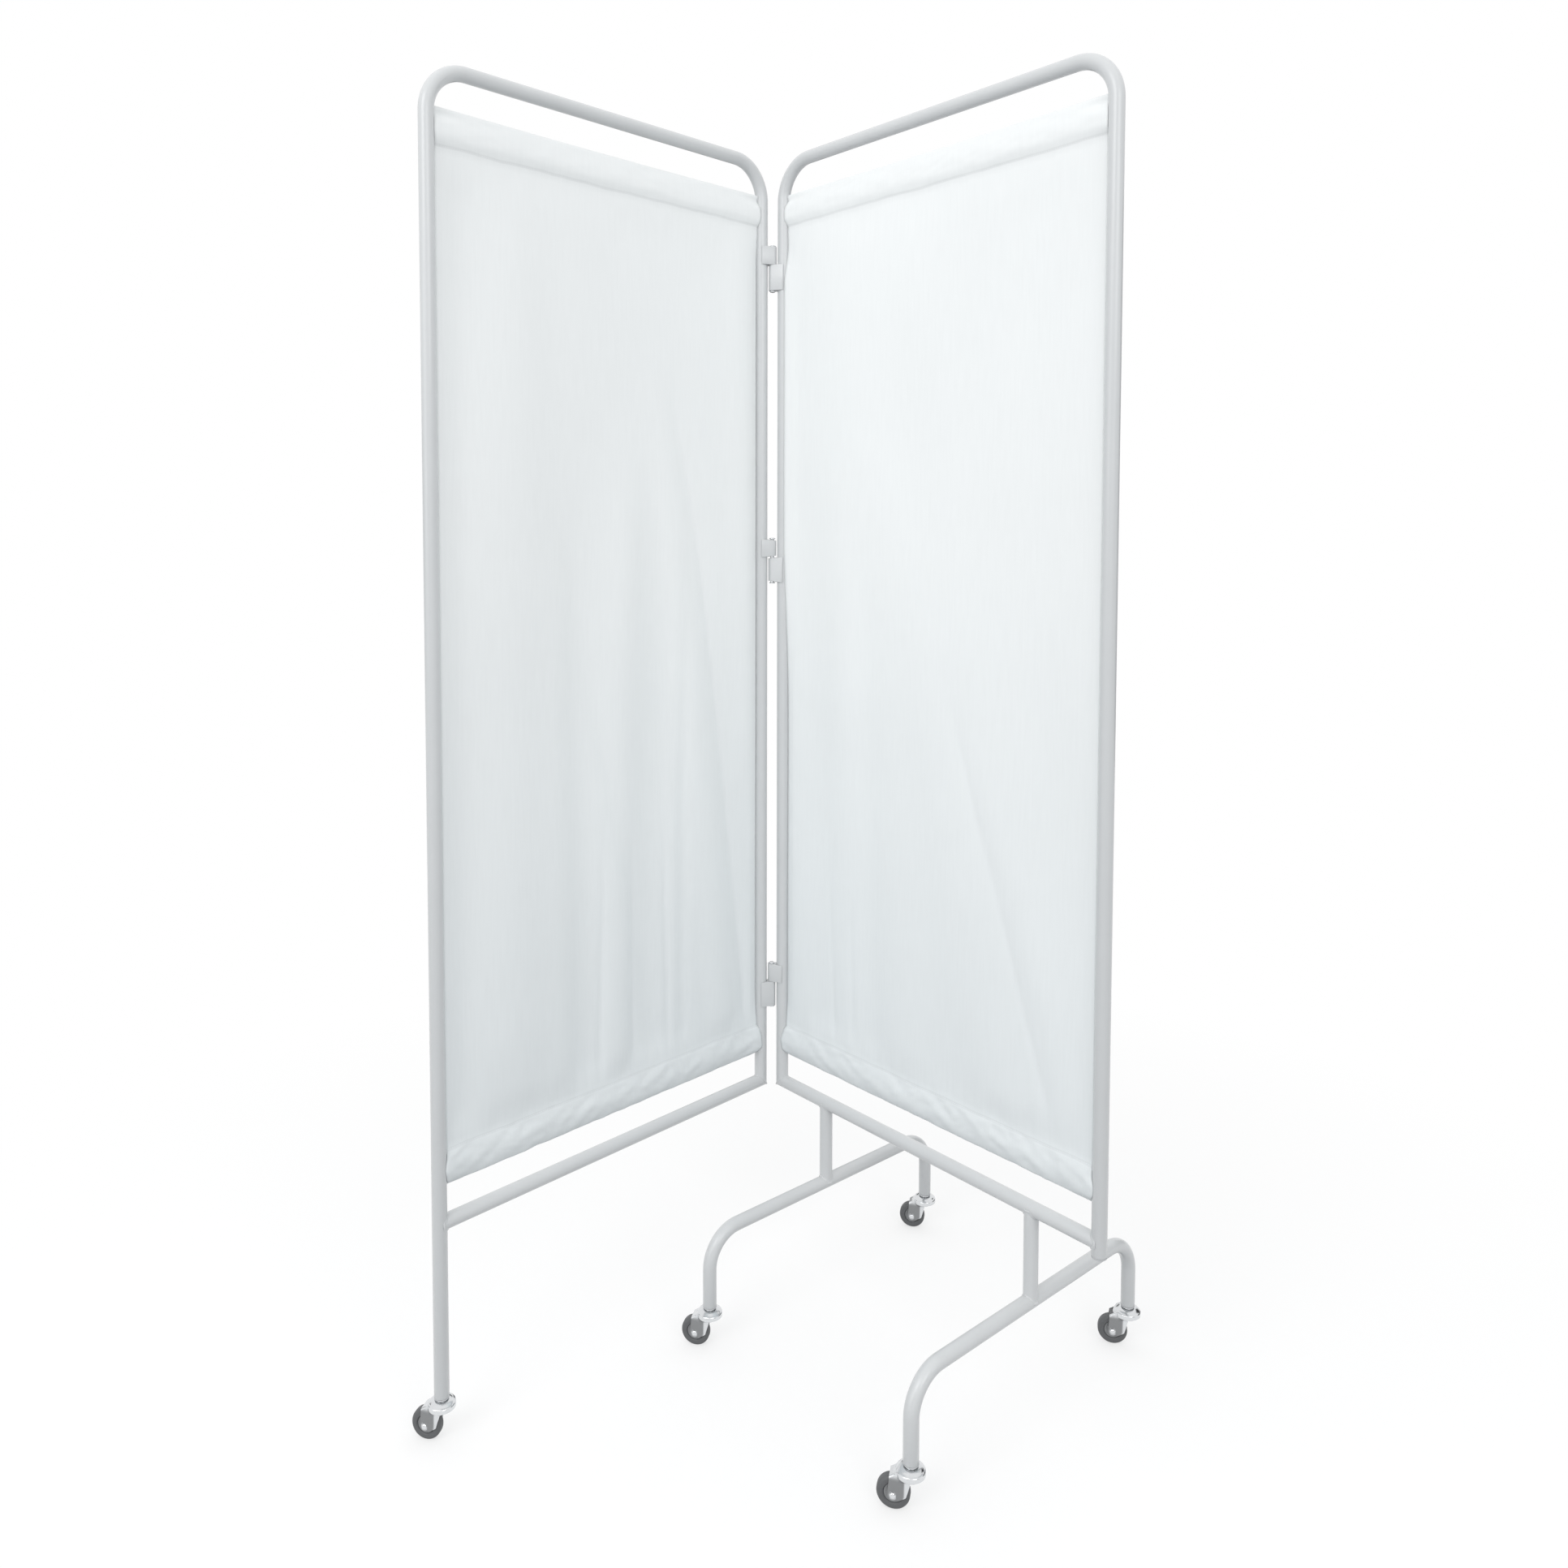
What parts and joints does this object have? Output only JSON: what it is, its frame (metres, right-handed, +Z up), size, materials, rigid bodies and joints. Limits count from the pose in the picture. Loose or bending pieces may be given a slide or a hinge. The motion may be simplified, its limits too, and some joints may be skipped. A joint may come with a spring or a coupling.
{
  "type": "folding privacy screen on casters",
  "caption": "Folding ward screen: tubular frames with white curtains, hinged at an angle, on bent-tube feet with swivel casters.",
  "frame": {"origin": "on the floor, under the middle of the box round the whole screen as it stands open", "axes": "+Z up; +X from the hinges along the braced panel, which is the one with two feet; -Y towards the side that the wing panel opens to"},
  "size_m": [0.614, 0.8656, 1.705],
  "materials": {
    "white_powder_coat": "semi-gloss white powder coat",
    "zinc_plate": "bright zinc plate",
    "rod_steel": "drawn steel rod",
    "curtain_cloth": "plain woven white cloth",
    "tyre_rubber": "matt dark grey rubber",
    "wheel_plastic": "light grey moulded plastic",
    "socket_plastic": "pale grey moulded plastic"
  },
  "bodies": {
    "braced_panel": {"braced_frame_tube": "white_powder_coat", "braced_bottom_rail": "white_powder_coat", "braced_leg_plug": "socket_plastic", "outer_foot_tube": "white_powder_coat", "outer_foot_post": "white_powder_coat", "inner_foot_tube": "white_powder_coat", "inner_foot_post": "white_powder_coat", "braced_curtain": "curtain_cloth", "braced_header_rod": "rod_steel", "braced_hem_rod": "rod_steel", "hinge_top_braced_lug": "white_powder_coat", "hinge_top_pin": "zinc_plate", "hinge_middle_braced_lug": "white_powder_coat", "hinge_middle_pin": "zinc_plate", "hinge_bottom_braced_lug": "white_powder_coat", "hinge_bottom_pin": "zinc_plate", "outer_front_caster_socket": "socket_plastic", "outer_front_caster_stem": "zinc_plate", "outer_rear_caster_socket": "socket_plastic", "outer_rear_caster_stem": "zinc_plate", "inner_front_caster_socket": "socket_plastic", "inner_front_caster_stem": "zinc_plate", "inner_rear_caster_socket": "socket_plastic", "inner_rear_caster_stem": "zinc_plate"},
    "wing_panel": {"wing_frame_tube": "white_powder_coat", "wing_bottom_rail": "white_powder_coat", "wing_curtain": "curtain_cloth", "wing_header_rod": "rod_steel", "wing_hem_rod": "rod_steel", "hinge_top_wing_lug": "white_powder_coat", "hinge_middle_wing_lug": "white_powder_coat", "hinge_bottom_wing_lug": "white_powder_coat", "wing_caster_socket": "socket_plastic", "wing_caster_stem": "zinc_plate"},
    "outer_front_caster": {"outer_front_caster_fork": "zinc_plate", "outer_front_caster_axle": "zinc_plate"},
    "outer_front_wheel": {"outer_front_wheel_hub": "wheel_plastic", "outer_front_wheel_tyre": "tyre_rubber"},
    "outer_rear_caster": {"outer_rear_caster_fork": "zinc_plate", "outer_rear_caster_axle": "zinc_plate"},
    "outer_rear_wheel": {"outer_rear_wheel_hub": "wheel_plastic", "outer_rear_wheel_tyre": "tyre_rubber"},
    "inner_front_caster": {"inner_front_caster_fork": "zinc_plate", "inner_front_caster_axle": "zinc_plate"},
    "inner_front_wheel": {"inner_front_wheel_hub": "wheel_plastic", "inner_front_wheel_tyre": "tyre_rubber"},
    "inner_rear_caster": {"inner_rear_caster_fork": "zinc_plate", "inner_rear_caster_axle": "zinc_plate"},
    "inner_rear_wheel": {"inner_rear_wheel_hub": "wheel_plastic", "inner_rear_wheel_tyre": "tyre_rubber"},
    "wing_caster": {"wing_caster_fork": "zinc_plate", "wing_caster_axle": "zinc_plate"},
    "wing_wheel": {"wing_wheel_hub": "wheel_plastic", "wing_wheel_tyre": "tyre_rubber"}
  },
  "joints": [
    {"name": "wing_fold", "type": "hinge", "parent": "braced_panel", "child": "wing_panel", "pos_m": [-0.28599, 0.1769, 1.0965], "axis": [0, 0, 1], "range_deg": [-94.5, 85.5]},
    {"name": "outer_front_swivel", "type": "hinge", "parent": "braced_panel", "child": "outer_front_caster", "pos_m": [0.19851, -0.0366, 0.05], "axis": [0, 0, 1], "continuous": true},
    {"name": "outer_front_roll", "type": "hinge", "parent": "outer_front_caster", "child": "outer_front_wheel", "pos_m": [0.18213, -0.04807, 0.02], "axis": [0.5736, -0.8192, 0], "continuous": true},
    {"name": "outer_rear_swivel", "type": "hinge", "parent": "braced_panel", "child": "outer_rear_caster", "pos_m": [0.19851, 0.4154, 0.05], "axis": [0, 0, 1], "continuous": true},
    {"name": "outer_rear_roll", "type": "hinge", "parent": "outer_rear_caster", "child": "outer_rear_wheel", "pos_m": [0.18213, 0.40393, 0.02], "axis": [0.5736, -0.8192, 0], "continuous": true},
    {"name": "inner_front_swivel", "type": "hinge", "parent": "braced_panel", "child": "inner_front_caster", "pos_m": [-0.17549, -0.0366, 0.05], "axis": [0, 0, 1], "continuous": true},
    {"name": "inner_front_roll", "type": "hinge", "parent": "inner_front_caster", "child": "inner_front_wheel", "pos_m": [-0.19187, -0.04807, 0.02], "axis": [0.5736, -0.8192, 0], "continuous": true},
    {"name": "inner_rear_swivel", "type": "hinge", "parent": "braced_panel", "child": "inner_rear_caster", "pos_m": [-0.17549, 0.4154, 0.05], "axis": [0, 0, 1], "continuous": true},
    {"name": "inner_rear_roll", "type": "hinge", "parent": "inner_rear_caster", "child": "inner_rear_wheel", "pos_m": [-0.19187, 0.40393, 0.02], "axis": [0.5736, -0.8192, 0], "continuous": true},
    {"name": "wing_swivel", "type": "hinge", "parent": "wing_panel", "child": "wing_caster", "pos_m": [-0.25267, -0.40578, 0.05], "axis": [0, 0, 1], "continuous": true},
    {"name": "wing_roll", "type": "hinge", "parent": "wing_caster", "child": "wing_wheel", "pos_m": [-0.26905, -0.41725, 0.02], "axis": [0.5736, -0.8192, 0], "continuous": true}
  ]
}
